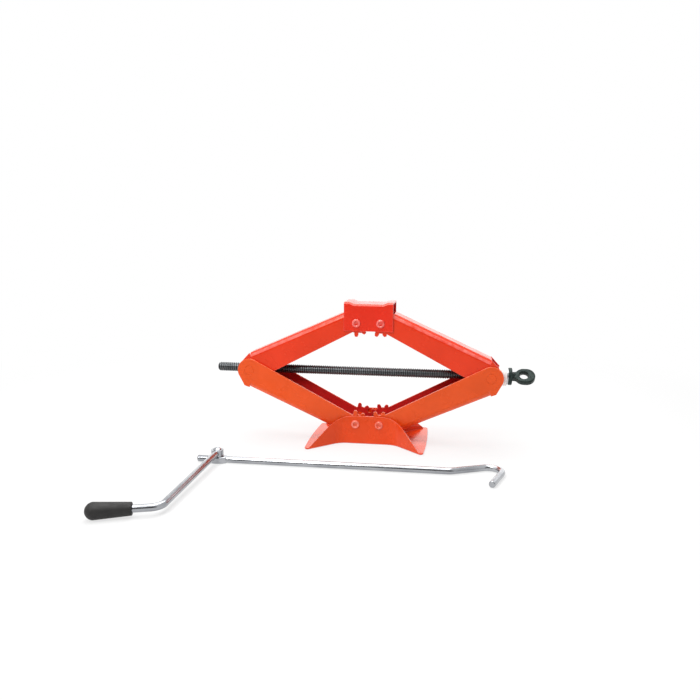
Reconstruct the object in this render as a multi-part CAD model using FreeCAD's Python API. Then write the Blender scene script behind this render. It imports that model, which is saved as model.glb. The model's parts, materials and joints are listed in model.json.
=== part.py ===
import FreeCAD, Part
import math
import os

from FreeCAD import Vector

# Linkage: four equal arms on two pairs of geared pivots
arm_length = 161.0
pivot_spacing = 32.0
base_pivot_height = 27.0
rest_angle = 25.0

# Sheet metal
arm_sheet = 2.5
saddle_sheet = 2.5
base_sheet = 2.5
lower_arm_width = 45.0
side_gap = 0.5
arm_bend_radius = 8.0
saddle_bend_radius = 3.5

# Arm outline, heights from the line between the arm's two pivots
arm_end_radius = 16.0
web_height_at_trunnion = 21.3
web_height_at_gear = 19.2
web_start = 9.5
web_end = 10.0
heel_corner_start = 2.5
heel_corner_height = 22.0
open_edge_at_gear = 8.6

# Toothed arm ends
teeth_per_turn = 9
teeth_per_arm = 5
left_first_tooth = -4.3
pressure_angle = 25.0
tooth_addendum = 2.4
root_clearance = 0.3
backlash = 0.4

# Pivot rivets and their spacer sleeves
pin_diameter = 8.0
pin_head_overhang = 1.6
pin_head_height = 2.2
pin_dimple_diameter = 4.0
pin_dimple_depth = 0.7
sleeve_wall = 2.5
sleeve_end_gap = 0.2
running_clearance = 0.05

# Trunnions
trunnion_diameter = 24.0
journal_diameter = 13.0
journal_chamfer = 0.3
trunnion_side_gap = 0.4
boss_seat_diameter = 25.6
boss_seat_height = 0.5

# Screw
screw_diameter = 12.0
screw_overhang = 49.5
screw_chamfer = 1.5

# Thrust bearing on the right trunnion
bearing_flat_depth = 1.5
shield_wall = 1.5
shield_mouth_gap = 0.5
race_gap = 0.5
race_thickness = 2.5
ball_diameter = 4.0
ball_count = 9
cage_thickness = 2.0
washer_diameter = 21.5
washer_thickness = 1.5

# Drive eye
eye_flange_diameter = 23.0
eye_flange_thickness = 5.0
eye_flange_rounding = 1.2
eye_neck_diameter = 12.5
eye_neck_width = 11.0
eye_neck_blend = 4.0
eye_neck_length = 9.9
eye_hole_diameter = 11.2
eye_side_wall = 5.7
eye_root_wall = 6.0
eye_tip_wall = 9.2
eye_thickness = 8.0
eye_rounding = 1.8
eye_turn = 49.0

# Saddle
saddle_length = 65.0
saddle_top = 27.5
saddle_skirt = 10.5
dip_length = 50.0
dip_slope_length = 6.0
dip_depth = 2.4

# Base
base_length = 160.0
base_end_crown = 2.5
base_end_width = 134.0
base_corner_radius = 4.0
base_waist_length = 72.0
base_waist_radius = 24.0
base_bend_radius = 2.0
base_tip_length = 8.0
ear_top = 11.5
ear_flat_length = 34.0
end_slope_length = 31.0
shoulder_height = 26.6

# Crank: a hooked rod and a folding arm, lying in front of the jack
rod_diameter = 8.0
rod_length = 285.0
rod_stub = 25.0
rod_bend_radius = 15.0
hook_rise_angle = 25.0
hook_rise_length = 78.0
hook_tip_angle = 108.5
hook_tip_length = 75.0
hook_radius = 15.0
rod_chamfer = 0.8
boss_length = 26.0
boss_width = 16.0
boss_rounding = 1.5
arm_head_diameter = 15.0
crank_reach = 166.0
crank_bend_radius = 14.0
crank_gap = 0.5
grip_lead = 27.0
grip_slant = 18.0
grip_length = 45.0
grip_mouth_wall = 2.8
grip_end_diameter = 18.0
grip_nose = 8.0
grip_end_cover = 11.0
crank_rivet_diameter = 6.0
crank_rivet_head_diameter = 11.0
crank_rivet_head_height = 2.5
crank_sink_diameter = 9.0
crank_sink_depth = 2.0
crank_x = -172.0
crank_y = -128.0

# Widths that follow from the nested sheet metal
upper_arm_width = lower_arm_width - 2 * (arm_sheet + side_gap)
saddle_width = upper_arm_width + 2 * (side_gap + saddle_sheet)
base_width = lower_arm_width + 2 * (side_gap + base_sheet)

# Diameters and lengths that follow from the pieces inside or beside them
pin_head_diameter = pin_diameter + 2 * pin_head_overhang
sleeve_diameter = pin_diameter + 2 * sleeve_wall
race_diameter = screw_diameter + 2 * (ball_diameter + 2 * race_gap)
shield_diameter = race_diameter + 2 * (race_gap + shield_wall)
bearing_seat = trunnion_diameter / 2 - bearing_flat_depth
shield_length = shield_wall + 2 * race_thickness + running_clearance + ball_diameter - shield_mouth_gap
eye_reach = eye_neck_length + eye_hole_diameter / 2
eye_head_radius = eye_hole_diameter / 2 + eye_side_wall
dip_floor_length = dip_length - 2 * dip_slope_length
grip_mouth_diameter = rod_diameter + 2 * grip_mouth_wall
tang_length = grip_length - grip_end_cover

# Places that follow from the linkage
slope = math.radians(rest_angle)
pivot_x = pivot_spacing / 2
rise = arm_length * math.sin(slope)
trunnion_x = pivot_x + arm_length * math.cos(slope)
screw_height = base_pivot_height + rise
saddle_pivot_height = screw_height + rise

# Places along the thrust bearing, from the right trunnion outwards
shield_x = trunnion_x + bearing_seat
seat_race_x = shield_x + shield_wall
ball_x = seat_race_x + race_thickness + running_clearance
turning_race_x = ball_x + ball_diameter
washer_x = turning_race_x + race_thickness
flange_x = washer_x + washer_thickness
eye_x = flange_x + eye_flange_thickness + eye_reach

# Place of the crank's fold
crank_arm_height = rod_diameter + crank_gap + rod_diameter / 2
crank_pivot = Vector(crank_x, crank_y, 0)

X = Vector(1, 0, 0)
Y = Vector(0, 1, 0)
Z = Vector(0, 0, 1)


def outline(start, *steps):
    """Closed face: each step is a point to draw a line to, or a (through, end) pair for an arc."""
    edges = []
    here = start
    for step in steps:
        through, there = step if isinstance(step, tuple) else (None, step)
        curve = Part.Arc(here, through, there) if through else Part.LineSegment(here, there)
        edges.append(curve.toShape())
        here = there
    if here.distanceToPoint(start) > 1e-6:
        edges.append(Part.LineSegment(here, start).toShape())
    return Part.Face(Part.Wire(edges))


def swell(start, end):
    """Middle of the arc that leaves start level with the first axis and reaches end."""
    run = end[0] - start[0]
    climb = end[1] - start[1]
    radius = (run**2 + climb**2) / (2 * abs(climb))
    half_turn = math.asin(abs(run) / radius) / 2
    return (
        start[0] + math.copysign(radius * math.sin(half_turn), run),
        start[1] + math.copysign(radius * (1 - math.cos(half_turn)), climb),
    )


def across(face, width):
    """Extrude a face in the XZ plane to the given width, centred on that plane."""
    return face.translated(Y * (-width / 2)).extrude(Y * width)


def rod_through(radius, centre, width):
    """Round rod along Y, centred on the XZ plane."""
    return Part.makeCylinder(radius, width, centre - Y * (width / 2), Y)


def ring(outer_diameter, inner_diameter, length, start):
    """Plain ring along X from start."""
    outer = Part.makeCylinder(outer_diameter / 2, length, start, X)
    return outer.cut(Part.makeCylinder(inner_diameter / 2, length, start, X))


def rounded_path(points, radii):
    """Wire of straight runs joined by tangent arcs, one radius for each inner point."""
    edges = []
    here = points[0]
    for before, corner, after, radius in zip(points, points[1:], points[2:], radii):
        incoming = (corner - before).normalize()
        outgoing = (after - corner).normalize()
        half_turn = incoming.getAngle(outgoing) / 2
        inward = (outgoing - incoming).normalize()
        reach = radius * math.tan(half_turn)
        centre = corner + inward * (radius / math.cos(half_turn))
        arc_start = corner - incoming * reach
        arc_end = corner + outgoing * reach
        edges.append(Part.LineSegment(here, arc_start).toShape())
        edges.append(Part.Arc(arc_start, centre - inward * radius, arc_end).toShape())
        here = arc_end
    edges.append(Part.LineSegment(here, points[-1]).toShape())
    return Part.Wire(edges)


def bent_rod(points, radii, chamfer):
    """Round rod along a rounded path, with both ends chamfered."""
    path = rounded_path(points, radii)
    section = Part.Wire(Part.makeCircle(rod_diameter / 2, points[0], points[1] - points[0]))
    rod = path.makePipeShell([section], True, False)
    ends = [edge for edge in rod.Edges if end_circle(edge, points[0]) or end_circle(edge, points[-1])]
    return rod.makeChamfer(chamfer, ends)


def end_circle(edge, centre):
    """Whether an edge is a full circle about the given point."""
    return edge.isClosed() and edge.CenterOfMass.distanceToPoint(centre) < 1e-3


# Toothed arms


def tooth(at, centre_angle):
    """One involute tooth; angles run from the far side of the pivot towards the open edge."""
    pitch_radius = pivot_spacing / 2
    base_radius = pitch_radius * math.cos(math.radians(pressure_angle))
    tip_radius = pitch_radius + tooth_addendum
    foot_radius = pitch_radius - tooth_addendum - root_clearance - arm_sheet
    pitch_half = math.pi / (2 * teeth_per_turn) - backlash / (4 * pitch_radius)

    def involute(radius):
        angle = math.acos(base_radius / radius)
        return math.tan(angle) - angle

    def flank(radius, sign):
        grip = max(radius, base_radius)
        half = pitch_half + involute(pitch_radius) - involute(grip)
        angle = math.radians(centre_angle) + sign * half
        return at(-radius * math.cos(angle), -radius * math.sin(angle))

    crown = math.radians(centre_angle)
    middle_radius = (base_radius + tip_radius) / 2
    return outline(
        flank(foot_radius, -1),
        flank(base_radius, -1),
        (flank(middle_radius, -1), flank(tip_radius, -1)),
        (at(-tip_radius * math.cos(crown), -tip_radius * math.sin(crown)), flank(tip_radius, 1)),
        (flank(middle_radius, 1), flank(base_radius, 1)),
        flank(foot_radius, 1),
    )


def tangent_point(corner, centre, radius, sign):
    """Where a line from corner touches a circle; points are (along, outward) pairs."""
    reach = (corner[0] - centre[0], corner[1] - centre[1])
    bearing = math.atan2(reach[1], reach[0])
    bearing += sign * math.acos(radius / math.hypot(*reach))
    return (centre[0] + radius * math.cos(bearing), centre[1] + radius * math.sin(bearing))


def arm(pivot, side, level, width, first_tooth):
    """Channel arm; side is -1 for left and level is -1 for the lower pair, whose sides reach further."""
    lower = level < 0
    along = Vector(side * math.cos(slope), 0, -level * math.sin(slope))
    outward = Vector(side * math.sin(slope), 0, level * math.cos(slope))

    def at(u, v):
        return pivot + along * u + outward * v

    root_radius = pivot_spacing / 2 - tooth_addendum - root_clearance
    web_near = (web_end, web_height_at_gear)
    web_far = (arm_length - web_start, web_height_at_trunnion)
    nose = tangent_point(web_near, (0, 0), root_radius, 1)
    corner = (arm_length - heel_corner_start, heel_corner_height) if lower else web_far
    heel = tangent_point(corner, (arm_length, 0), arm_end_radius, -1)
    end_edge = [at(*corner), at(*heel)] if lower else [at(*heel)]
    plate = outline(
        at(0, 0),
        at(*nose),
        at(*web_near),
        at(*web_far),
        *end_edge,
        (at(arm_length + arm_end_radius, 0), at(arm_length, -arm_end_radius)),
        at(0, -open_edge_at_gear),
    )
    pitch = 360.0 / teeth_per_turn
    teeth = [across(tooth(at, first_tooth + pitch * count), width) for count in range(teeth_per_arm)]
    hub = rod_through(root_radius, pivot, width)
    block = across(plate, width).fuse([hub] + teeth).removeSplitter()

    run = at(*web_far) - at(*web_near)
    inward = run.cross(Y).normalize() * (-side * level)
    half = width / 2
    inner_half = half - arm_sheet
    inner_bend = arm_bend_radius - arm_sheet
    diagonal = 1 - math.sqrt(0.5)

    def section(y, depth):
        return at(*web_near) + Y * y + inward * depth

    def bend_spare(hand):
        """What the bend takes off the block's outer corner."""
        return outline(
            section(hand * half, 0),
            section(hand * (half - arm_bend_radius), 0),
            (
                section(hand * (half - arm_bend_radius * diagonal), arm_bend_radius * diagonal),
                section(hand * half, arm_bend_radius),
            ),
        ).extrude(run)

    web = outline(
        section(-inner_half, 0),
        section(inner_half, 0),
        section(inner_half, arm_bend_radius),
        (
            section(inner_half - inner_bend * diagonal, arm_sheet + inner_bend * diagonal),
            section(inner_half - inner_bend, arm_sheet),
        ),
        section(inner_bend - inner_half, arm_sheet),
        (
            section(inner_bend * diagonal - inner_half, arm_sheet + inner_bend * diagonal),
            section(-inner_half, arm_bend_radius),
        ),
    ).extrude(run)
    block = block.cut([bend_spare(-1), bend_spare(1)])
    reach = 2 * (arm_length + arm_end_radius)
    clear = Part.makeBox(reach, 2 * inner_half, reach, pivot - Vector(reach / 2, inner_half, reach / 2))
    channel = block.cut(clear.cut(web))
    if lower:
        channel = channel.fuse([boss_seat(at(arm_length, 0), hand * width / 2, hand) for hand in (-1, 1)])
    gear_hole = rod_through(pin_diameter / 2 + running_clearance, pivot, width)
    hole_length = width + 2 * boss_seat_height
    trunnion_hole = rod_through(journal_diameter / 2 + running_clearance, at(arm_length, 0), hole_length)
    return channel.cut([gear_hole, trunnion_hole]).removeSplitter()


def boss_seat(centre, face, hand):
    """Low round boss pressed out of a lower arm's side, about the trunnion."""
    radius = boss_seat_diameter / 2
    seat = centre + Y * face
    return Part.makeCone(radius, radius - boss_seat_height, boss_seat_height, seat, Y * hand)


# Rivets and sleeves


def rivet(centre, grip):
    """Headed pin along Y; the two low domes have a set mark in the middle."""
    seat = grip / 2
    crown = seat + pin_head_height
    head_radius = pin_head_diameter / 2
    dimple_radius = pin_dimple_diameter / 2
    bulge = swell((dimple_radius, crown), (head_radius, seat))
    dome = outline(
        Vector(0, seat, 0),
        Vector(head_radius, seat, 0),
        (Vector(bulge[0], bulge[1], 0), Vector(dimple_radius, crown, 0)),
        Vector(0, crown - pin_dimple_depth, 0),
    ).revolve(Vector(0, 0, 0), Y, 360)
    shank = rod_through(pin_diameter / 2, Vector(0, 0, 0), grip)
    pin = shank.fuse([dome, dome.mirror(Vector(0, 0, 0), Y)]).removeSplitter()
    return pin.translated(centre)


def sleeve(centre, arm_width):
    """Spacer tube on a rivet, between the inner faces of an arm's sides."""
    length = arm_width - 2 * (arm_sheet + sleeve_end_gap)
    return rod_through(sleeve_diameter / 2, centre, length).cut(rod_through(pin_diameter / 2, centre, length))


# Trunnions


def trunnion(centre):
    """Cross-drilled block between the arms, with a journal through both arms at each end."""
    body_width = upper_arm_width - 2 * (arm_sheet + trunnion_side_gap)
    body = rod_through(trunnion_diameter / 2, centre, body_width)
    journal = rod_through(journal_diameter / 2, centre, lower_arm_width + 2 * boss_seat_height)
    ends = [edge for edge in journal.Edges if edge.isClosed() and abs(edge.CenterOfMass.y) > body_width / 2]
    journal = journal.makeChamfer(journal_chamfer, ends)
    bore_radius = screw_diameter / 2 + running_clearance
    bore = Part.makeCylinder(bore_radius, trunnion_diameter, centre - X * (trunnion_diameter / 2), X)
    return body.fuse(journal).removeSplitter().cut(bore)


def trunnion_block(centre):
    """Right trunnion, with a flat face for the thrust bearing."""
    spare = trunnion_diameter / 2 - bearing_seat
    corner = centre + Vector(bearing_seat, -upper_arm_width / 2, -trunnion_diameter / 2)
    return trunnion(centre).cut(Part.makeBox(spare, upper_arm_width, trunnion_diameter, corner))


# Screw, thrust bearing and eye


def lead_screw():
    """Round rod that carries the thread, chamfered at its free end, seated in the eye's flange."""
    start_x = -trunnion_x - screw_overhang
    length = flange_x + eye_flange_thickness - start_x
    start = Vector(start_x, 0, screw_height)
    rod = Part.makeCylinder(screw_diameter / 2, length, start, X)
    free_end = [edge for edge in rod.Edges if end_circle(edge, start)]
    return rod.makeChamfer(screw_chamfer, free_end)


def bearing_shield():
    """Cup on the right trunnion, open towards the eye."""
    start = Vector(shield_x, 0, screw_height)
    cup = ring(shield_diameter, screw_diameter + 2 * running_clearance, shield_length, start)
    hollow = Part.makeCylinder(shield_diameter / 2 - shield_wall, shield_length, start + X * shield_wall, X)
    return cup.cut(hollow)


def race(x, bore):
    """Flat thrust race inside the shield."""
    return ring(race_diameter, bore, race_thickness, Vector(x, 0, screw_height))


def ball_ring():
    """Balls in a flat cage, between the two races."""
    ball_circle = (race_diameter + screw_diameter) / 4
    middle = Vector(ball_x + ball_diameter / 2, 0, screw_height)
    cage_start = middle - X * (cage_thickness / 2)
    cage = ring(race_diameter - 2 * race_gap, screw_diameter, cage_thickness, cage_start)
    balls = []
    for count in range(ball_count):
        turn = 2 * math.pi * count / ball_count
        spot = middle + Vector(0, ball_circle * math.cos(turn), ball_circle * math.sin(turn))
        balls.append(Part.makeSphere(ball_diameter / 2, spot))
    return cage.fuse(balls).removeSplitter()


def drive_eye():
    """Forged eye: a round flange, a short neck and a flat oval eye turned about the screw."""
    centre = Vector(eye_x, 0, screw_height)
    seat = Vector(flange_x, 0, screw_height)
    face_x = flange_x + eye_flange_thickness
    flange = Part.makeCylinder(eye_flange_diameter / 2, eye_flange_thickness, seat, X)
    rims = [edge for edge in flange.Edges if edge.isClosed()]
    flange = flange.makeFillet(eye_flange_rounding, rims)

    tip_x = eye_x + eye_tip_wall - eye_side_wall
    root_x = eye_x - eye_root_wall + eye_side_wall
    half = eye_neck_width / 2
    reach = eye_head_radius + eye_neck_blend
    climb = half + eye_neck_blend
    blend_x = root_x - math.sqrt(reach**2 - climb**2)
    share = eye_head_radius / reach
    touch = (root_x + (blend_x - root_x) * share, climb * share)
    bulge = swell((blend_x, half), touch)

    def spot(x, z):
        return Vector(x, 0, screw_height + z)

    def shoulder(sign):
        """Middle of the head's arc between the neck and the widest place."""
        turn = (math.atan2(touch[1], touch[0] - root_x) + math.pi / 2) / 2
        return spot(root_x + eye_head_radius * math.cos(turn), sign * eye_head_radius * math.sin(turn))

    oval = outline(
        spot(face_x, -half),
        spot(blend_x, -half),
        (spot(bulge[0], -bulge[1]), spot(touch[0], -touch[1])),
        (shoulder(-1), spot(root_x, -eye_head_radius)),
        spot(tip_x, -eye_head_radius),
        (spot(tip_x + eye_head_radius, 0), spot(tip_x, eye_head_radius)),
        spot(root_x, eye_head_radius),
        (shoulder(1), spot(*touch)),
        (spot(*bulge), spot(blend_x, half)),
        spot(face_x, half),
    )
    hole = rod_through(eye_hole_diameter / 2, centre, eye_thickness)
    eye = across(oval, eye_thickness).cut(hole)
    rounding = min(eye_rounding, 0.45 * eye_thickness, 0.45 * eye_side_wall)
    rims = [
        edge
        for edge in eye.Edges
        if edge.BoundBox.YLength < 1e-4 and edge.CenterOfMass.x > face_x + 1e-4
    ]
    eye = eye.makeFillet(rounding, rims)
    neck = Part.makeCone(
        eye_neck_diameter / 2,
        eye_thickness / 3,
        eye_neck_length - rounding,
        Vector(face_x, 0, screw_height),
        X,
    )
    forging = flange.fuse([neck, eye]).removeSplitter()
    socket = Part.makeCylinder(screw_diameter / 2, eye_flange_thickness, seat, X)
    return forging.cut(socket).rotated(centre, X, -eye_turn)


# Saddle and base


def saddle():
    """Inverted channel with a shallow dip across its top."""

    def profile(drop, skirt):
        half = saddle_length / 2
        top = saddle_pivot_height + saddle_top - drop
        foot = saddle_pivot_height - skirt
        floor = top - dip_depth
        return outline(
            Vector(-half, 0, foot),
            Vector(-half, 0, top),
            Vector(-dip_length / 2, 0, top),
            Vector(-dip_floor_length / 2, 0, floor),
            Vector(dip_floor_length / 2, 0, floor),
            Vector(dip_length / 2, 0, top),
            Vector(half, 0, top),
            Vector(half, 0, foot),
        )

    channel = across(profile(0, saddle_skirt), saddle_width)
    ridge = saddle_pivot_height + saddle_top - dip_depth - saddle_sheet
    bends = [
        edge
        for edge in channel.Edges
        if abs(abs(edge.CenterOfMass.y) - saddle_width / 2) < 1e-4 and edge.BoundBox.ZMin > ridge
    ]
    channel = channel.makeFillet(saddle_bend_radius, bends)
    hollow = across(profile(saddle_sheet, saddle_skirt), saddle_width - 2 * saddle_sheet)
    return channel.cut([hollow] + pin_holes(saddle_pivot_height, saddle_width))


def pin_holes(height, width):
    """Drills for a pair of rivets."""
    return [rod_through(pin_diameter / 2, Vector(side * pivot_x, 0, height), width) for side in (-1, 1)]


def base():
    """Flat foot, waisted in plan, with a flange up each long side and raised ears for the rivets."""
    middle = base_length / 2
    corner = middle - base_end_crown
    tip = middle - base_tip_length
    shoulder = middle - end_slope_length
    waist = base_waist_length / 2
    flare = (base_end_width - base_width) / (base_length - 2 * base_end_crown - base_waist_length)
    peak = base_pivot_height + ear_top
    flat = ear_flat_length / 2
    headroom = 2 * peak

    def plan(inset, reach, crown):
        """Footprint drawn in by inset: straight at the ears, flared to the ends at reach."""
        start = waist + inset * (math.hypot(1, flare) - 1) / flare
        near = base_width / 2 - inset
        far = near + flare * (reach - start)
        footprint = outline(
            Vector(-start, near, 0),
            Vector(start, near, 0),
            Vector(reach, far, 0),
            (Vector(reach + crown, 0, 0), Vector(reach, -far, 0)),
            Vector(start, -near, 0),
            Vector(-start, -near, 0),
            Vector(-reach, -far, 0),
            (Vector(-reach - crown, 0, 0), Vector(-reach, far, 0)),
        ).extrude(Z * headroom)
        return rounded(footprint, start, base_waist_radius + inset)

    def rounded(solid, distance, radius):
        """Round the upright edges at a distance from the middle."""
        edges = [
            edge
            for edge in solid.Edges
            if edge.BoundBox.ZLength > 1 and abs(abs(edge.CenterOfMass.x) - distance) < 1e-4
        ]
        return solid.makeFillet(radius, edges)

    ear_bend = swell((flat, peak), (shoulder, shoulder_height))
    sides = outline(
        Vector(-middle, 0, 0),
        Vector(middle, 0, 0),
        Vector(middle, 0, base_sheet),
        Vector(tip, 0, base_sheet),
        Vector(shoulder, 0, shoulder_height),
        (Vector(ear_bend[0], 0, ear_bend[1]), Vector(flat, 0, peak)),
        Vector(-flat, 0, peak),
        (Vector(-ear_bend[0], 0, ear_bend[1]), Vector(-shoulder, 0, shoulder_height)),
        Vector(-tip, 0, base_sheet),
        Vector(-middle, 0, base_sheet),
    )
    footprint = rounded(plan(0, corner, base_end_crown), corner, base_corner_radius)
    outer = across(sides, base_end_width).common(footprint)
    rim = [edge for edge in outer.Edges if edge.BoundBox.ZMax < 1e-4]
    outer = outer.makeFillet(base_bend_radius, rim)
    inner = plan(base_sheet, base_length, base_end_crown).translated(Z * base_sheet)
    return outer.cut([inner] + pin_holes(base_pivot_height, base_width))


# Crank


def crank_rod():
    """Rod with a hooked end and a widened boss for the folding arm."""
    level = crank_pivot + Z * (rod_diameter / 2)
    bend = level + X * rod_length
    rising = math.radians(hook_rise_angle)
    falling = math.radians(-hook_tip_angle)
    crest = bend + Vector(math.cos(rising), math.sin(rising), 0) * hook_rise_length
    tip = crest + Vector(math.cos(falling), math.sin(falling), 0) * hook_tip_length
    rod = bent_rod([level - X * rod_stub, bend, crest, tip], [rod_bend_radius, hook_radius], rod_chamfer)
    lens = Part.Ellipse(crank_pivot, boss_length / 2, boss_width / 2).toShape()
    boss = Part.Face(Part.Wire(lens)).extrude(Z * rod_diameter)
    boss = boss.makeFillet(boss_rounding, [edge for edge in boss.Edges if edge.isClosed()])
    drill = Part.makeCylinder(crank_rivet_diameter / 2, rod_diameter, crank_pivot)
    sink = Part.makeCone(crank_sink_diameter / 2, crank_rivet_diameter / 2, crank_sink_depth, crank_pivot)
    return rod.fuse(boss).removeSplitter().cut([drill, sink])


def grip_line():
    """Corner of the crank arm, and the direction of its grip."""
    corner = crank_pivot + Vector(0, -crank_reach, grip_end_diameter / 2)
    slant = math.radians(grip_slant)
    return corner, Vector(-math.cos(slant), -math.sin(slant), 0)


def crank_arm():
    """Bent rod from the pivot to the grip, with a round head on the rivet."""
    head_base = crank_pivot + Z * (rod_diameter + crank_gap)
    head = Part.makeCylinder(arm_head_diameter / 2, rod_diameter, head_base)
    corner, leaving = grip_line()
    start = crank_pivot + Z * crank_arm_height
    tip = corner + leaving * (grip_lead + tang_length)
    rod = bent_rod([start, corner, tip], [crank_bend_radius], rod_chamfer)
    drill = Part.makeCylinder(crank_rivet_diameter / 2 + running_clearance, 3 * rod_diameter, crank_pivot)
    return rod.fuse(head).removeSplitter().cut(drill)


def crank_rivet():
    """Pin of the fold: sunk flush underneath and domed on top."""
    seat = 2 * rod_diameter + crank_gap + running_clearance
    crown = seat + crank_rivet_head_height
    shank_radius = crank_rivet_diameter / 2
    head_radius = crank_rivet_head_diameter / 2
    bulge = swell((0, crown), (head_radius, seat))
    half = outline(
        Vector(0, 0, 0),
        Vector(crank_sink_diameter / 2, 0, 0),
        Vector(shank_radius, 0, crank_sink_depth),
        Vector(shank_radius, 0, seat),
        Vector(head_radius, 0, seat),
        (Vector(bulge[0], 0, bulge[1]), Vector(0, 0, crown)),
    )
    return half.revolve(Vector(0, 0, 0), Z, 360).translated(crank_pivot)


def crank_grip():
    """Tapered grip with a round nose, moulded over the arm's tang."""
    corner, leaving = grip_line()
    mouth = grip_mouth_diameter / 2
    end = grip_end_diameter / 2
    nose = grip_length - grip_nose
    bulge = swell((0, grip_length), (end, nose))
    half = outline(
        Vector(0, 0, 0),
        Vector(0, mouth, 0),
        Vector(nose, end, 0),
        (Vector(bulge[1], bulge[0], 0), Vector(grip_length, 0, 0)),
    )
    grip = half.revolve(Vector(0, 0, 0), X, 360)
    socket = Part.makeCylinder(rod_diameter / 2, tang_length - rod_chamfer, Vector(0, 0, 0), X)
    tang_tip = Part.makeCone(
        rod_diameter / 2,
        rod_diameter / 2 - rod_chamfer,
        rod_chamfer,
        Vector(tang_length - rod_chamfer, 0, 0),
        X,
    )
    grip = grip.cut([socket, tang_tip])
    turn = FreeCAD.Rotation(X, leaving)
    grip.Placement = FreeCAD.Placement(corner + leaving * grip_lead, turn)
    return grip


def build():
    """Every piece of the jack by name."""
    right_first_tooth = left_first_tooth - 180.0 / teeth_per_turn
    right_centre = Vector(trunnion_x, 0, screw_height)
    pieces = {
        "base": base(),
        "saddle": saddle(),
        "trunnion_nut": trunnion(Vector(-trunnion_x, 0, screw_height)),
        "trunnion_block": trunnion_block(right_centre),
        "lead_screw": lead_screw(),
        "bearing_shield": bearing_shield(),
        "seat_race": race(seat_race_x, screw_diameter + 2 * running_clearance),
        "ball_ring": ball_ring(),
        "turning_race": race(turning_race_x, screw_diameter),
        "thrust_washer": ring(
            washer_diameter, screw_diameter, washer_thickness, Vector(washer_x, 0, screw_height)
        ),
        "drive_eye": drive_eye(),
        "crank_rod": crank_rod(),
        "crank_arm": crank_arm(),
        "crank_rivet": crank_rivet(),
        "crank_grip": crank_grip(),
    }
    for hand, side, first_tooth in (("left", -1, left_first_tooth), ("right", 1, right_first_tooth)):
        low = Vector(side * pivot_x, 0, base_pivot_height)
        high = Vector(side * pivot_x, 0, saddle_pivot_height)
        pieces[f"lower_{hand}_arm"] = arm(low, side, -1, lower_arm_width, first_tooth)
        pieces[f"upper_{hand}_arm"] = arm(high, side, 1, upper_arm_width, first_tooth)
        pieces[f"base_pin_{hand}"] = rivet(low, base_width)
        pieces[f"saddle_pin_{hand}"] = rivet(high, saddle_width)
        pieces[f"base_sleeve_{hand}"] = sleeve(low, lower_arm_width)
        pieces[f"saddle_sleeve_{hand}"] = sleeve(high, upper_arm_width)
    return pieces


os.makedirs("parts", exist_ok=True)
for name, shape in build().items():
    shape.exportStep(f"parts/{name}.step")
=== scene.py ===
# %% [markdown]
# # A scissor jack and its crank
# A scissor jack is a diamond of four pressed channels. A long screw pulls the two side corners
# together, and the toothed ends of the channels keep the two halves level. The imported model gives
# every piece its place, in metres. This lesson gives the pieces soft edges, a real thread and paint.

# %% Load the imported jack
import json
import math

import bmesh
import bpy
from mathutils import Matrix, Vector
from mathutils.bvhtree import BVHTree


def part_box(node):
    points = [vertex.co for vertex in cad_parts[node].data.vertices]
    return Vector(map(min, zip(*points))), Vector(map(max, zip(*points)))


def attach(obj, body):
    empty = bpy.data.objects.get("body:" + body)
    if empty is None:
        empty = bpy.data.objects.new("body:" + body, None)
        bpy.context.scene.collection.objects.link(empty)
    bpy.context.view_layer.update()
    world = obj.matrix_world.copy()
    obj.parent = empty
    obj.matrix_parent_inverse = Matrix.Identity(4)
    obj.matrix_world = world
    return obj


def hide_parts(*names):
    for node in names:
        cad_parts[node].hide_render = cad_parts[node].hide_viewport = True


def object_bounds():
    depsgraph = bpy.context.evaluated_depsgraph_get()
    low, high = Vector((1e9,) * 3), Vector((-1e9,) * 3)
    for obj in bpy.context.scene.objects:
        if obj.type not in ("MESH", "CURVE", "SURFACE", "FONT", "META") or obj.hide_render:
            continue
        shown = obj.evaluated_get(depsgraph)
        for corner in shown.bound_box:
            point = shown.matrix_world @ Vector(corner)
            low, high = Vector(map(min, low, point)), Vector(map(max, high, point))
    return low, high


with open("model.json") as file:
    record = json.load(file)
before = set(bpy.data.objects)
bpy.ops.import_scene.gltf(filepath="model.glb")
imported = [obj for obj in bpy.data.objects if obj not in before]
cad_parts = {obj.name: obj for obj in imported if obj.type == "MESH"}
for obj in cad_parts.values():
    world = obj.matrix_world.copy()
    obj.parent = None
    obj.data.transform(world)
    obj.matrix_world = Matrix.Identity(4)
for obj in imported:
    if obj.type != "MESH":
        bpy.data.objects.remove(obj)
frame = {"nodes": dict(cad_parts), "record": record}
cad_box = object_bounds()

nodes = frame["nodes"]
scene = bpy.context.scene
print(len(nodes), "nodes, box", [round(side, 4) for corner in cad_box for side in corner])

# %% [markdown]
# ## Camera
# The photo was taken from a little above the screw and a little to its right. A camera that looks
# at one point, turned by azimuth and elevation, is easier to match than free coordinates. The jack
# isn't in the middle of the picture, so the lens is shifted, as on a view camera.

# %% Camera at the photo's angle
look_at = Vector((0, 0, 0.090))
azimuth = math.radians(7.07)
elevation = math.radians(11.59)
roll = math.radians(0.65)
distance = 0.932

level_reach = math.cos(elevation)
back = Vector((math.sin(azimuth) * level_reach, -math.cos(azimuth) * level_reach, math.sin(elevation)))
level_right = Vector((math.cos(azimuth), math.sin(azimuth), 0))
level_up = back.cross(level_right)
right = level_right * math.cos(roll) + level_up * math.sin(roll)
up = level_up * math.cos(roll) - level_right * math.sin(roll)

lens = bpy.data.cameras.new("photo_camera")
lens.sensor_width = 36
lens.lens = 35.27
lens.shift_x = -0.0283
lens.shift_y = 0.0358
lens.clip_start = 0.01
camera = bpy.data.objects.new("photo_camera", lens)
camera.matrix_world = Matrix((right, up, back)).transposed().to_4x4()
camera.location = look_at + back * distance
scene.collection.objects.link(camera)
scene.camera = camera
print("camera at", [round(c, 3) for c in camera.location])

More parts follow.
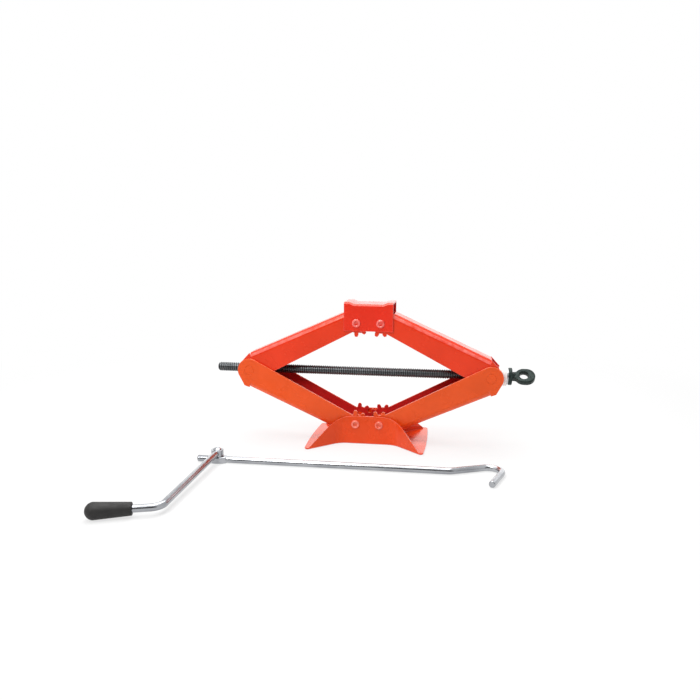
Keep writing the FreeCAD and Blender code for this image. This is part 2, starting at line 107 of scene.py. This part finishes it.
# %% [markdown]
# ## Studio
# Product photos of painted steel use large soft lights, because a gloss finish shows whatever is
# around it. One soft box hangs above, one stands behind to draw a pale sheen on the upper faces,
# and a smaller one in front gives the rivets their glint. A grey card behind the camera is seen
# only in the gloss: it keeps the paint deep and draws the dark lines that make plating look bright.

# %% Soft boxes
def soft_box(name, place, aim, width, height, power):
    """Rectangular lamp that the camera doesn't see."""
    lamp = bpy.data.lights.new(name, "AREA")
    lamp.shape = "RECTANGLE"
    lamp.size = width
    lamp.size_y = height
    lamp.energy = power
    box = bpy.data.objects.new(name, lamp)
    box.location = place
    box.rotation_euler = (Vector(aim) - Vector(place)).to_track_quat("-Z", "Y").to_euler()
    box.visible_camera = False
    scene.collection.objects.link(box)
    print(name, width, "by", height, "m,", power, "W")


soft_box("top_box", place=(-0.1, 0.2, 1.15), aim=(-0.1, 0.19, 0), width=0.9, height=1.6, power=17)
soft_box("back_box", place=(0.1, 1.5, 0.5), aim=(0, 0, 0.15), width=2.6, height=0.8, power=4)
soft_box("front_box", place=(-0.5, -1.1, 1.1), aim=(0, 0, 0.1), width=0.5, height=0.5, power=9)


# %% Grey card
def flat_sheet(name, width, height, place):
    """Plane of the studio, a grid of one metre scaled to its sides, that the export leaves out."""
    bm = bmesh.new()
    bmesh.ops.create_grid(bm, x_segments=1, y_segments=1, size=0.5)
    bmesh.ops.scale(bm, vec=(width, height, 1), verts=bm.verts)
    bmesh.ops.transform(bm, matrix=place, verts=bm.verts)
    mesh = bpy.data.meshes.new(name)
    bm.to_mesh(mesh)
    bm.free()
    sheet = bpy.data.objects.new(name, mesh)
    scene.collection.objects.link(sheet)
    return sheet


upright = Matrix.Rotation(math.pi / 2, 4, "X")
card_place = Matrix.Translation((0, -1.5, 0.65)) @ upright
card = flat_sheet("grey_card", width=3.0, height=1.1, place=card_place)
card.visible_camera = False
card.visible_diffuse = False
card.visible_shadow = False
card_paint = bpy.data.materials.new("grey_card")
card_paint.use_nodes = True
card_shader = card_paint.node_tree.nodes["Principled BSDF"]
card_shader.inputs["Base Color"].default_value = (0.06, 0.06, 0.06, 1)
card_shader.inputs["Roughness"].default_value = 0.9
card.data.materials.append(card_paint)
print("grey card", [round(side, 2) for side in card.dimensions])

# %% [markdown]
# The background is a white room and white paper. White walls that also lit the jack would wash out
# its paint, so Light Path splits the two: what the camera sees, straight or in a gloss, is white, and
# the light on the jack is a quarter of that. Near the jack the paper is partly a matt surface, which
# takes the shadow. Further out it is only white, so no horizon shows.

# %% Join nodes
def link(tree, start, end):
    """Join two sockets."""
    tree.links.new(start, end)


def combined(tree, operation, first, second):
    """Two numbers put together by a Math node."""
    node = tree.nodes.new("ShaderNodeMath")
    node.operation = operation
    link(tree, first, node.inputs[0])
    link(tree, second, node.inputs[1])
    return node.outputs[0]


def stretched(tree, number, source, target, easing="LINEAR"):
    """A number moved from one range to another by a Map Range node."""
    node = tree.nodes.new("ShaderNodeMapRange")
    node.interpolation_type = easing
    for socket, limit in zip(("From Min", "From Max", "To Min", "To Max"), (*source, *target)):
        node.inputs[socket].default_value = limit
    link(tree, number, node.inputs["Value"])
    return node.outputs[0]


def seen_white(tree):
    """One where the camera looks straight at a surface, or sees it in metal or glass."""
    path = tree.nodes.new("ShaderNodeLightPath")
    seen = combined(tree, "MAXIMUM", path.outputs["Is Camera Ray"], path.outputs["Is Glossy Ray"])
    return combined(tree, "MAXIMUM", seen, path.outputs["Is Transmission Ray"])


print("node helpers: link, combined, stretched, seen_white")

# %% White room
scene.view_settings.view_transform = "Standard"
room_light = 0.25

room = bpy.data.worlds.new("white_room")
room.use_nodes = True
scene.world = room
tree = room.node_tree
sky = tree.nodes["Background"]
sky.inputs["Color"].default_value = (1, 1, 1, 1)
link(tree, stretched(tree, seen_white(tree), (0, 1), (room_light, 1)), sky.inputs["Strength"])
print("the room lights the jack at", room_light)

# %% White paper floor
shadow_reach = 0.4
white_reach = 0.9
near_white = 0.7
floor_side = 24
floor_gap = 0.0002
floor_height = cad_box[0][2] - floor_gap

paper = bpy.data.materials.new("white_paper")
paper.use_nodes = True
tree = paper.node_tree
tree.nodes.clear()
matt = tree.nodes.new("ShaderNodeBsdfDiffuse")
matt.inputs["Color"].default_value = (0.9, 0.9, 0.9, 1)
glow = tree.nodes.new("ShaderNodeEmission")
glow.inputs["Color"].default_value = (1, 1, 1, 1)
spot = tree.nodes.new("ShaderNodeTexCoord")
away = tree.nodes.new("ShaderNodeVectorMath")
away.operation = "LENGTH"
link(tree, spot.outputs["Object"], away.inputs[0])
fade = (shadow_reach, white_reach)
whiter = stretched(tree, away.outputs["Value"], fade, (near_white, 1), easing="SMOOTHSTEP")
blend = tree.nodes.new("ShaderNodeMixShader")
link(tree, combined(tree, "MULTIPLY", seen_white(tree), whiter), blend.inputs["Fac"])
link(tree, matt.outputs[0], blend.inputs[1])
link(tree, glow.outputs[0], blend.inputs[2])
paper_output = tree.nodes.new("ShaderNodeOutputMaterial")
link(tree, blend.outputs[0], paper_output.inputs["Surface"])

floor = flat_sheet("floor", floor_side, floor_side, Matrix.Translation((0, 0, floor_height)))
floor.data.materials.append(paper)
print("floor at", round(floor_height, 5))

# %% [markdown]
# ## Finishes
# Every finish is one Principled shader fed by noise on Object coordinates, so its grain has a real
# size in metres. Each finish needs a colour, a roughness and a relief that vary, so small helpers
# make the noise and spread it over a range of numbers or colours.

# %% Noise and its ranges
noise_span = (0.3, 0.7)


def new_finish(name, **sockets):
    """Material with a Principled shader, and the sockets that are the same all over."""
    material = bpy.data.materials.new(name)
    material.use_nodes = True
    shader = material.node_tree.nodes["Principled BSDF"]
    for socket, value in sockets.items():
        shader.inputs[socket.replace("_", " ")].default_value = value
    return material, material.node_tree, shader


def grain(tree, size, detail, stretch=(1, 1, 1)):
    """Noise whose cells are about size metres wide, longer where stretch is below one."""
    spot = tree.nodes.new("ShaderNodeTexCoord")
    turn = tree.nodes.new("ShaderNodeMapping")
    turn.inputs["Scale"].default_value = stretch
    noise = tree.nodes.new("ShaderNodeTexNoise")
    noise.inputs["Scale"].default_value = 1 / size
    noise.inputs["Detail"].default_value = detail
    link(tree, spot.outputs["Object"], turn.inputs["Vector"])
    link(tree, turn.outputs["Vector"], noise.inputs["Vector"])
    return noise.outputs["Fac"]


def between(tree, noise, low, high):
    """Noise spread over a range of numbers."""
    return stretched(tree, noise, noise_span, (low, high))


def tints(tree, noise, dark, light, span=noise_span):
    """Noise spread over a range of colours."""
    ramp = tree.nodes.new("ShaderNodeValToRGB")
    for stop, place, colour in zip(ramp.color_ramp.elements, span, (dark, light)):
        stop.position = place
        stop.color = (*colour, 1)
    link(tree, noise, ramp.inputs["Fac"])
    return ramp.outputs["Color"]


print("noise is spread from", noise_span[0], "to", noise_span[1])

# %% [markdown]
# Some finishes change where a piece is worn, and some carry painted light and shade. The paler rims
# are partly wear and partly a painted highlight, and the darker insides of the channels are painted
# shade. A texture could be painted for each piece. Here the faces of a piece carry a number, the
# mark, which an Attribute node reads, and noise breaks the mark up into patches. The last helper
# joins all that a finish needs to its shader.

# %% Marks on faces, and the whole shader
def face_mark(tree, name):
    """A number that the faces of a piece carry, or nought where they carry none."""
    mark = tree.nodes.new("ShaderNodeAttribute")
    mark.attribute_name = name
    return mark.outputs["Fac"]


def patchy_mark(tree, name, size, low, high):
    """A mark that noise breaks up, as wear does."""
    patches = between(tree, grain(tree, size, detail=3), low, high)
    return combined(tree, "MULTIPLY", face_mark(tree, name), patches)


def mixed(tree, factor, under, over):
    """A colour that another one covers where the factor is high."""
    mix = tree.nodes.new("ShaderNodeMix")
    mix.data_type = "RGBA"
    link(tree, factor, mix.inputs["Factor"])
    link(tree, under, mix.inputs["A"])
    mix.inputs["B"].default_value = (*over, 1)
    return mix.outputs["Result"]


def dress(tree, shader, colour, haze, rough, relief, depth, strength):
    """Give a shader its colour, its range of roughness and a relief that is depth metres high."""
    bump = tree.nodes.new("ShaderNodeBump")
    bump.inputs["Distance"].default_value = depth
    bump.inputs["Strength"].default_value = strength
    link(tree, relief, bump.inputs["Height"])
    link(tree, bump.outputs["Normal"], shader.inputs["Normal"])
    link(tree, colour, shader.inputs["Base Color"])
    link(tree, between(tree, haze, *rough), shader.inputs["Roughness"])


print("marks that the finishes read: rim, inside, crest")

# %% [markdown]
# The pressings are sprayed with an orange-red gloss enamel. Wet enamel dries with a fine orange
# peel, and no two pressings come out quite the same hue, so the hue is an argument. Edges and bends
# are painted paler, partly for thin paint and wear and partly as a painted highlight where the bends
# on top catch the light. The inner faces of a channel are painted a darker red, as painted shade. The
# shader reads two marks for that: rim and inside.

# %% Enamel
# Darker red that is painted on the inner faces of a channel: painted shade.
painted_inside_shade = (0.66, 0.026, 0.024)
warm_sheen = (1.0, 0.62, 0.42, 1)
paler = 0.16


def enamel(name, hue, gloss=0.6, coat_weight=0.06, rough=(0.2, 0.3)):
    """Sprayed enamel of one hue."""
    material, tree, shader = new_finish(
        name,
        Specular_IOR_Level=gloss,
        Specular_Tint=warm_sheen,
        Coat_Weight=coat_weight,
        Coat_Roughness=0.1,
    )
    shade = tuple(0.9 * c for c in hue)
    light = tuple(min(1.0, 1.06 * c + 0.004) for c in hue)
    # Paler colour for the rims: partly thin paint and wear, partly a painted highlight.
    rim_highlight_and_wear = tuple(min(1.0, c + paler) for c in hue)
    colour = tints(tree, grain(tree, size=0.06, detail=3), shade, light)
    # The inner faces get the darker red as painted shade. The rims get the paler colour, which is partly wear
    # and partly a painted highlight.
    colour = mixed(tree, face_mark(tree, "inside"), colour, painted_inside_shade)
    colour = mixed(tree, patchy_mark(tree, "rim", size=0.008, low=0.15, high=0.7), colour, rim_highlight_and_wear)
    dress(
        tree,
        shader,
        colour,
        haze=grain(tree, size=0.02, detail=2),
        rough=rough,
        relief=grain(tree, size=0.0016, detail=1),
        depth=0.00006,
        strength=0.6,
    )
    print(name, len(tree.nodes), "nodes")
    return material


base_hue = (0.83, 0.058, 0.002)
lower_hue = (0.84, 0.08, 0.006)
upper_hue = (0.8, 0.03, 0.003)
saddle_hue = (0.81, 0.015, 0.002)
base_enamel = enamel("base_enamel", base_hue)
lower_enamel = enamel("lower_arm_enamel", lower_hue)
upper_enamel = enamel("upper_arm_enamel", upper_hue)
saddle_enamel = enamel("saddle_enamel", saddle_hue)

# %% [markdown]
# Paint pools around the head of a rivet, so the rivets get the hues of the sheets that they hold
# together, with more gloss and a clear coat over it.

# %% Enamel of the rivets
rivet_gloss = {"gloss": 1.0, "coat_weight": 1.0, "rough": (0.12, 0.18)}
base_rivet_enamel = enamel("base_rivet_enamel", base_hue, **rivet_gloss)
saddle_rivet_enamel = enamel("saddle_rivet_enamel", saddle_hue, **rivet_gloss)

# %% [markdown]
# The screw is black oxide steel with oil on it. The nut rubs the crests of its thread bright, so they
# carry a mark of their own.

# %% Black oxide
oxide_dark = (0.048, 0.052, 0.055)
oxide_light = (0.098, 0.104, 0.109)
rubbed_steel = (0.165, 0.173, 0.178)

black_oxide, tree, shader = new_finish("black_oxide", Metallic=0.85)
skin = tints(tree, grain(tree, size=0.012, detail=4), oxide_dark, oxide_light)
rubbed = patchy_mark(tree, "crest", size=0.02, low=0.35, high=0.9)
dress(
    tree,
    shader,
    mixed(tree, rubbed, skin, rubbed_steel),
    haze=grain(tree, size=0.006, detail=3),
    rough=(0.3, 0.45),
    relief=grain(tree, size=0.0009, detail=2),
    depth=0.00004,
    strength=0.5,
)
print("black oxide", len(tree.nodes), "nodes")

# %% [markdown]
# The eye is a forging with a dark green-black phosphate skin. A forging comes out of its die a little
# pitted, so its relief is the deepest of all.

# %% Phosphate skin
phosphate_dark = (0.005, 0.011, 0.009)
phosphate_light = (0.038, 0.056, 0.051)
phosphate_span = (0.28, 0.72)

phosphate_skin, tree, shader = new_finish("phosphate_skin", Metallic=0.3, Specular_IOR_Level=0.2)
dress(
    tree,
    shader,
    tints(tree, grain(tree, size=0.005, detail=4), phosphate_dark, phosphate_light, phosphate_span),
    haze=grain(tree, size=0.003, detail=3),
    rough=(0.3, 0.48),
    relief=grain(tree, size=0.0022, detail=4),
    depth=0.00018,
    strength=0.6,
)
print("phosphate skin", len(tree.nodes), "nodes")

# %% [markdown]
# The crank is plated bright over steel that is a little uneven, and handling leaves some haze. One
# smooth metal would look too clean, so colour, roughness and relief all vary a little.

# %% Bright plating
plating_dark = (0.3, 0.31, 0.33)
plating_light = (0.46, 0.47, 0.49)

bright_plating, tree, shader = new_finish("bright_plating", Metallic=1.0)
dress(
    tree,
    shader,
    tints(tree, grain(tree, size=0.03, detail=3), plating_dark, plating_light),
    haze=grain(tree, size=0.009, detail=3),
    rough=(0.14, 0.26),
    relief=grain(tree, size=0.0012, detail=2),
    depth=0.00003,
    strength=0.5,
)
print("bright plating", len(tree.nodes), "nodes")

# %% [markdown]
# The washer and the hidden rings are steel turned on a lathe. The tool leaves fine marks around their
# axis, which is the screw's, so the noise of the relief is drawn out across X.

# %% Turned steel
turned_dark = (0.46, 0.46, 0.47)
turned_light = (0.62, 0.62, 0.63)
across_x = (1, 0.1, 0.1)

turned_steel, tree, shader = new_finish("turned_steel", Metallic=1.0)
dress(
    tree,
    shader,
    tints(tree, grain(tree, size=0.01, detail=3), turned_dark, turned_light),
    haze=grain(tree, size=0.004, detail=2),
    rough=(0.24, 0.38),
    relief=grain(tree, size=0.0006, detail=1, stretch=across_x),
    depth=0.00002,
    strength=0.5,
)
print("turned steel", len(tree.nodes), "nodes")

# %% [markdown]
# The grip is a matt black moulding with a pitted skin, and the bearing's cup is smoother white nylon.
# Both come from moulds, so one helper makes them, with the depth of the pits as an argument.

# %% Mouldings
def moulding(name, dark, light, rough, pit, depth):
    """Moulded plastic with a pitted skin."""
    material, tree, shader = new_finish(name, Specular_IOR_Level=0.4)
    dress(
        tree,
        shader,
        tints(tree, grain(tree, size=0.012, detail=3), dark, light),
        haze=grain(tree, size=0.004, detail=2),
        rough=rough,
        relief=grain(tree, size=pit, detail=2),
        depth=depth,
        strength=0.7,
    )
    print(name, len(tree.nodes), "nodes")
    return material


black_grip = moulding(
    "black_grip",
    dark=(0.01, 0.0098, 0.0092),
    light=(0.02, 0.019, 0.018),
    rough=(0.5, 0.66),
    pit=0.0011,
    depth=0.00012,
)
white_nylon = moulding(
    "white_nylon",
    dark=(0.82, 0.81, 0.79),
    light=(0.91, 0.905, 0.89),
    rough=(0.32, 0.45),
    pit=0.002,
    depth=0.00003,
)

# %% [markdown]
# ## Pressings
# The six pressings are the base, the saddle and the four arms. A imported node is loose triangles,
# which can't be bevelled, so each pressing starts as a copy whose corners are merged and whose flat
# faces are joined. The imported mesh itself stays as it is.

# %% Copy the pressings
merge_gap = 2e-6
flat_within = math.radians(0.6)
pressings = {
    "base": base_enamel,
    "saddle": saddle_enamel,
    "lower_left_arm": lower_enamel,
    "lower_right_arm": lower_enamel,
    "upper_left_arm": upper_enamel,
    "upper_right_arm": upper_enamel,
}


def joined_copy(node):
    """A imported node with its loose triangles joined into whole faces."""
    bm = bmesh.new()
    bm.from_mesh(nodes[node].data)
    bmesh.ops.remove_doubles(bm, verts=bm.verts, dist=merge_gap)
    bmesh.ops.dissolve_limit(bm, angle_limit=flat_within, verts=bm.verts, edges=bm.edges)
    return bm


copies = {node: joined_copy(node) for node in pressings}
for node, bm in copies.items():
    print(node, len(nodes[node].data.polygons), "triangles joined into", len(bm.faces), "faces")

# %% [markdown]
# The enamel has to know which faces get painted shade and which get a painted highlight. They could
# be picked by hand. The direction of a face already tells where it is on a channel, so it sets the
# marks: inside, for painted shade, on the inner walls and the inner web, and rim, for a painted
# highlight, on the outer bends, most of all where they are on top. The round ends of the arms are not
# bends, so faces near a pivot are left out.

# %% Find the pivots
pivot_nodes = (
    "trunnion_nut",
    "trunnion_block",
    "base_pin_left",
    "base_pin_right",
    "saddle_pin_left",
    "saddle_pin_right",
)
pivots = []
for node in pivot_nodes:
    low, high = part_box(node)
    pivots.append(((low[0] + high[0]) / 2, (low[2] + high[2]) / 2))


def near_pivot(place, reach):
    """Whether a place is within reach of a pivot's axis."""
    return any(math.hypot(place.x - x, place.z - z) < reach for x, z in pivots)


print("pivots at", [(round(x, 4), round(z, 4)) for x, z in pivots])

# %% Mark the insides and the bends
inner_wall = -0.7
web_slant = 0.3
web_margin = 0.003
bend_slant = (0.7, 0.97)
arm_end_reach = 0.014
# How pale the bends are painted: a painted highlight, strong on the bends on top and faint below.
highlight_on_top = 1.6
highlight_below = 0.2
channel_opens = {
    "saddle": -1,
    "lower_left_arm": 1,
    "lower_right_arm": 1,
    "upper_left_arm": -1,
    "upper_right_arm": -1,
}


def mark_channel(bm, half_width, opens):
    """Mark the inner faces and outer bends of a channel that opens upwards, 1, or downwards, -1."""
    inside = bm.faces.layers.float.new("inside")
    rim = bm.faces.layers.float.new("rim")
    bend_highlight = highlight_on_top if opens < 0 else highlight_below
    for face in bm.faces:
        middle = face.calc_center_median()
        outward = face.normal.y * math.copysign(1, middle.y)
        in_web = abs(middle.y) < half_width - web_margin and face.normal.z * opens > web_slant
        on_bend = bend_slant[0] < outward < bend_slant[1] and not near_pivot(middle, arm_end_reach)
        # inside carries the painted shade, and rim the painted highlight on the bends.
        face[inside] = 1.0 if outward < inner_wall or in_web else 0.0
        face[rim] = bend_highlight if on_bend else 0.0
    return sum(face[inside] > 0 for face in bm.faces), sum(face[rim] > 0 for face in bm.faces)


for node, opens in channel_opens.items():
    inner, bent = mark_channel(copies[node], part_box(node)[1][1], opens)
    print(node, inner, "faces inside,", bent, "on the bends")

# %% [markdown]
# A pressed sheet never has knife edges: the punch rolls one side over and the paint rounds the other.
# A Bevel modifier would do that for every sharp edge alike. Here bmesh bevels the copies, so the holes
# for the pivots can be left sharp, and the new faces can be marked as rim. Where several edges meet, a
# bevel may throw a corner far out, so such a corner is put back on the old surface.

# %% Round the edges of the sheets
hole_reach = 0.0078
stray = 0.0003
sheet_rounding = 0.0005


def around_hole(edge):
    """Whether an edge belongs to a pivot's hole."""
    return near_pivot((edge.verts[0].co + edge.verts[1].co) / 2, hole_reach)


def round_edges(bm, width, segments, sharper, skip=None):
    """Bevel every edge that is sharper than an angle in degrees, and mark the new faces as rim."""
    rim = bm.faces.layers.float.get("rim") or bm.faces.layers.float.new("rim")
    limit = math.radians(sharper)
    skin = BVHTree.FromBMesh(bm)
    sharp = [
        edge
        for edge in bm.edges
        if len(edge.link_faces) == 2 and edge.calc_face_angle() > limit and not (skip and skip(edge))
    ]
    made = bmesh.ops.bevel(
        bm,
        geom=sharp,
        offset=width,
        offset_type="OFFSET",
        segments=segments,
        profile=0.5,
        affect="EDGES",
        material=-1,
    )
    # The enamel paints these faces paler: partly thin paint, partly a painted highlight on the edges.
    for face in made["faces"]:
        face[rim] = 1.0
    for vert in bm.verts:
        nearest, _, _, gap = skin.find_nearest(vert.co)
        if gap > stray:
            vert.co = nearest
    return len(sharp)


for node, bm in copies.items():
    rounded = round_edges(bm, sheet_rounding, segments=3, sharper=55, skip=around_hole)
    print(node, rounded, "edges rounded")

# %% [markdown]
# A finished piece moves with the body of the node that it stands for, and the node is hidden.
# Weighted normals keep the large flat faces flat beside their rounded edges.

# %% Put the pressings in the scene
bodies = frame["record"]["behaviour"]["bodies"]
body_of_node = {node: body for body, members in bodies.items() for node in members}


def settle(bm, name, node, material, smooth=38):
    """Make the piece, let it ride with its node's body, and stand in for the node."""
    mesh = bpy.data.meshes.new(name)
    bm.to_mesh(mesh)
    bm.free()
    mesh.shade_smooth()
    mesh.set_sharp_from_angle(angle=math.radians(smooth))
    mesh.materials.append(material)
    piece = bpy.data.objects.new(name, mesh)
    scene.collection.objects.link(piece)
    even = piece.modifiers.new("even_shading", "WEIGHTED_NORMAL")
    even.keep_sharp = True
    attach(piece, body_of_node[node])
    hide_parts(node)
    print(name, len(mesh.polygons), "faces")


for node, paint in pressings.items():
    settle(copies[node], node + "_pressing", node, paint)

# %% [markdown]
# ## Rivets and trunnions
# A pivot rivet is set by rolling its end over, which leaves a raised ring around a shallow cup. The
# ring is what catches the light, so it is worth real geometry: half a section, spun about the pin.
# The ring is marked as rim and painted paler: partly wear, partly a painted highlight.

# %% Spin a section about a pin
spin_steps = 40
spin_merge = 1e-6


def spun(section, centre):
    """Solid of (radius, y) points that are spun about an axis along Y through the centre."""
    bm = bmesh.new()
    points = [bm.verts.new((centre.x + radius, y, centre.z)) for radius, y in section]
    lines = [bm.edges.new(pair) for pair in zip(points, points[1:])]
    bmesh.ops.spin(
        bm,
        geom=points + lines,
        cent=centre,
        axis=(0, 1, 0),
        dvec=(0, 0, 0),
        angle=2 * math.pi,
        steps=spin_steps,
        use_merge=True,
    )
    bmesh.ops.remove_doubles(bm, verts=bm.verts, dist=spin_merge)
    bmesh.ops.recalc_face_normals(bm, faces=bm.faces)
    return bm


print("a spun pin has", spin_steps, "sides")

# %% Roll the rivet heads
head_height = 0.0022
pin_radius = 0.004
# How pale the rolled ring is painted: a painted highlight, with some wear.
ring_highlight_and_wear = 1.8
cup_share = 0.5
rolled_ring = (
    (1, 0),
    (0.985, 0.4),
    (0.92, 0.75),
    (0.8, 0.96),
    (0.68, 1),
    (0.57, 0.93),
    (0.49, 0.7),
    (0.43, 0.4),
    (0, 0.3),
)
rivets = {
    "base_pin_left": base_rivet_enamel,
    "base_pin_right": base_rivet_enamel,
    "saddle_pin_left": saddle_rivet_enamel,
    "saddle_pin_right": saddle_rivet_enamel,
}
for node, paint in rivets.items():
    low, high = (Vector(corner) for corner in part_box(node))
    centre = (low + high) / 2
    head_radius = (high.x - low.x) / 2
    seat = high.y - head_height
    head = [(radius * head_radius, seat + height * head_height) for radius, height in rolled_ring]
    near_half = [(pin_radius, seat)] + head
    far_half = [(radius, -y) for radius, y in near_half[::-1]]
    bm = spun(far_half + near_half, centre)
    rim = bm.faces.layers.float.new("rim")
    for face in bm.faces:
        middle = face.calc_center_median()
        spread = math.hypot(middle.x - centre.x, middle.z - centre.z)
        face[rim] = ring_highlight_and_wear if abs(middle.y) > seat and spread > cup_share * head_radius else 0.0
    settle(bm, node + "_rolled", node, paint)

# %% [markdown]
# The trunnions sit between the arms, and little more than the ends of their journals shows. Those are
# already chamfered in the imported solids, so merged copies only get the lower arms' paint.

# %% Painted trunnions
for node in ("trunnion_nut", "trunnion_block"):
    settle(joined_copy(node), node + "_painted", node, lower_enamel)

# %% [markdown]
# ## Screw
# The screw is rolled with a coarse right-hand thread, 3 mm for each turn. A thread can be a bump
# pattern, but its outline would stay straight. Here one tooth of the profile is spun about the
# screw's axis with a shift at each step, which is how a thread is cut, and the turns are merged.

# %% Measure the screw
lead = 0.003
thread_depth = 0.0009
thread_into_block = 0.004
spare_turns = 2

screw_low, screw_high = (Vector(corner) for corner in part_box("lead_screw"))
axis_height = (screw_low.z + screw_high.z) / 2
crest_radius = (screw_high.z - screw_low.z) / 2
root_radius = crest_radius - thread_depth
thread_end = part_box("trunnion_block")[0][0] + thread_into_block
turns = math.ceil((thread_end - screw_low.x) / lead) + spare_turns
print("crest radius", round(crest_radius, 5), "thread ends at", round(thread_end, 4))

# %% Spin the thread
turn_steps = 24
first_turn = -1.5
turn_merge = 2e-5
on_cut = 1e-6
tooth = (
    (0, root_radius),
    (0.16, root_radius),
    (0.36, crest_radius),
    (0.8, crest_radius),
    (1, root_radius),
)

bm = bmesh.new()
crest = bm.faces.layers.float.new("crest")
points = []
for share, radius in tooth:
    points.append(bm.verts.new((screw_low.x + (share + first_turn) * lead, 0, axis_height + radius)))
lines = [bm.edges.new(pair) for pair in zip(points, points[1:])]
bmesh.ops.spin(
    bm,
    geom=points + lines,
    cent=(0, 0, axis_height),
    axis=(1, 0, 0),
    dvec=(lead / turn_steps, 0, 0),
    angle=2 * math.pi * turns,
    steps=turn_steps * turns,
    use_merge=False,
)
bmesh.ops.remove_doubles(bm, verts=bm.verts, dist=turn_merge)
for cut, side in ((screw_low.x, -1), (thread_end, 1)):
    everything = bm.verts[:] + bm.edges[:] + bm.faces[:]
    bmesh.ops.bisect_plane(bm, geom=everything, plane_co=(cut, 0, 0), plane_no=(side, 0, 0), clear_outer=True)
    open_end = [edge for edge in bm.edges if edge.is_boundary and abs(edge.verts[0].co.x - cut) < on_cut]
    bmesh.ops.holes_fill(bm, edges=open_end, sides=0)
print("thread", turns, "turns,", len(bm.faces), "faces")

# %% [markdown]
# The free end of a screw is pointed, so that a nut starts on it easily. Corners that stand out of the
# cone there are pulled in, which keeps the thread's shape. The crests are marked, because the nut rubs
# them bright. The other end turns in the block and is plain, so a cylinder carries on from the thread.

# %% Point the free end and mark the crests
chamfer = 0.0015
crest_band = 0.0003
crest_slant = 0.4

for vert in bm.verts:
    arm = Vector((0, vert.co.y, vert.co.z - axis_height))
    allowed = crest_radius - max(0, chamfer - (vert.co.x - screw_low.x))
    if arm.length > allowed:
        vert.co -= arm * (1 - allowed / arm.length)
bmesh.ops.recalc_face_normals(bm, faces=bm.faces)
for face in bm.faces:
    middle = face.calc_center_median()
    reach = math.hypot(middle.y, middle.z - axis_height)
    on_crest = reach > crest_radius - crest_band and abs(face.normal.x) < crest_slant
    face[crest] = 1.0 if on_crest else 0.0
print(sum(face[crest] > 0 for face in bm.faces), "faces on the crests")

# %% Add the plain shank
shank_sides = 48
shank_ease = 0.0001
shank_radius = crest_radius - shank_ease
shank_length = screw_high.x - thread_end
shank_middle = Matrix.Translation((thread_end + shank_length / 2, 0, axis_height))
along_screw = Matrix.Rotation(math.pi / 2, 4, "Y")

bmesh.ops.create_cone(
    bm,
    cap_ends=True,
    segments=shank_sides,
    radius1=shank_radius,
    radius2=shank_radius,
    depth=shank_length,
    matrix=shank_middle @ along_screw,
)
settle(bm, "threaded_screw", "lead_screw", black_oxide, smooth=30)

# %% [markdown]
# ## Eye, bearing and crank
# These solids are right as they are: forged, turned and bent shapes with their own roundings. A
# merged copy gives them smooth shading, and a small bevel breaks the edges that are still sharp.

# %% Forged, turned and plated pieces
broken_edge = 0.0003
grip_rounding = 0.0008
fine_pieces = {
    "drive_eye": (phosphate_skin, broken_edge),
    "bearing_shield": (white_nylon, broken_edge),
    "thrust_washer": (turned_steel, broken_edge),
    "crank_rod": (bright_plating, broken_edge),
    "crank_arm": (bright_plating, broken_edge),
    "crank_rivet": (bright_plating, broken_edge),
    "crank_grip": (black_grip, grip_rounding),
}
for node, (material, width) in fine_pieces.items():
    bm = joined_copy(node)
    round_edges(bm, width, segments=2, sharper=40)
    settle(bm, node + "_finished", node, material)

# %% [markdown]
# The races and the balls are almost hidden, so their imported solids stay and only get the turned
# steel. The spacer sleeves get the paint of the rivets that they sit on.

# %% Hidden pieces
hidden = {
    "base_sleeve_left": base_rivet_enamel,
    "base_sleeve_right": base_rivet_enamel,
    "saddle_sleeve_left": saddle_rivet_enamel,
    "saddle_sleeve_right": saddle_rivet_enamel,
    "seat_race": turned_steel,
    "turning_race": turned_steel,
    "ball_ring": turned_steel,
}
for node, material in hidden.items():
    mesh = nodes[node].data
    mesh.materials.clear()
    mesh.materials.append(material)
print(len(hidden), "hidden pieces finished")
